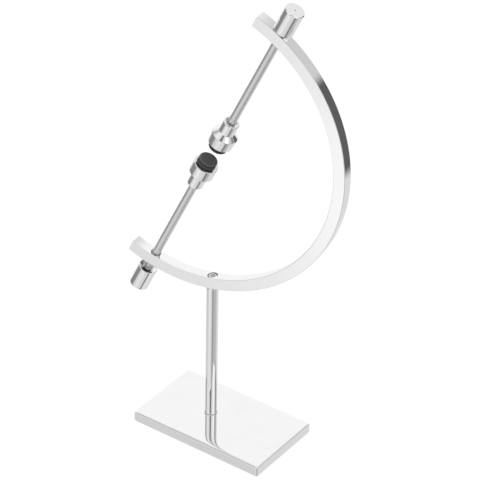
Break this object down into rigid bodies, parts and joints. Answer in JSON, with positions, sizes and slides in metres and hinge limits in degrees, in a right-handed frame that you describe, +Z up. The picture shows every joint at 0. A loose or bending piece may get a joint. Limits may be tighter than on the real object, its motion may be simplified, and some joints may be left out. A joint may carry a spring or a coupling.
{
  "type": "two-point display stand",
  "caption": "Polished steel display stand: a half-circle arc on a post and plate, with sliding rubber-tipped spindles that face each other to hold a ball or egg.",
  "frame": {"origin": "middle of the base plate's underside", "axes": "+Z up along the post; +X along the plate's long side, towards the arc's closed side; +Y across the plate"},
  "size_m": [0.2302, 0.09, 0.4856],
  "materials": {
    "base_plate": "mirror-polished stainless steel",
    "foot_pad": "soft anti-slip dot",
    "washer": "plain washer",
    "screw": "dull dark steel",
    "post": "mirror-polished stainless steel",
    "arc_bar": "mirror-polished stainless steel",
    "bush": "plain steel",
    "rod": "ground along its length",
    "knob": "polished, with a turned end face",
    "head": "turned and polished",
    "pad": "matt black moulded rubber"
  },
  "bodies": {
    "base": {"base_plate": "base_plate", "foot_pad_1": "foot_pad", "foot_pad_2": "foot_pad", "foot_pad_3": "foot_pad", "foot_pad_4": "foot_pad", "base_washer": "washer"},
    "column": {"post": "post", "base_screw": "screw", "arc_bar": "arc_bar", "arc_washer": "washer", "arc_screw": "screw", "upper_bush": "bush", "lower_bush": "bush"},
    "upper_slider": {"upper_rod": "rod"},
    "upper_grip": {"upper_knob": "knob", "upper_head": "head", "upper_pad": "pad"},
    "lower_slider": {"lower_rod": "rod"},
    "lower_grip": {"lower_knob": "knob", "lower_head": "head", "lower_pad": "pad"}
  },
  "joints": [
    {"name": "column_swivel", "type": "hinge", "parent": "base", "child": "column", "pos_m": [-0.0138, 0.0007, 0], "axis": [0, 0, 1], "continuous": true},
    {"name": "upper_slide", "type": "slide", "parent": "column", "child": "upper_slider", "axis": [0.4203, 0.0442, 0.9063], "range_m": [-0.0018, 0.1035]},
    {"name": "upper_spin", "type": "hinge", "parent": "upper_slider", "child": "upper_grip", "pos_m": [-0.01041, 0.00106, 0.31707], "axis": [0.4203, 0.0442, 0.9063], "continuous": true},
    {"name": "lower_slide", "type": "slide", "parent": "column", "child": "lower_slider", "axis": [-0.4203, -0.0442, -0.9063], "range_m": [-0.0075, 0.0995]},
    {"name": "lower_spin", "type": "hinge", "parent": "lower_slider", "child": "lower_grip", "pos_m": [-0.01954, 0.0001, 0.30165], "axis": [-0.4203, -0.0442, -0.9063], "continuous": true}
  ]
}
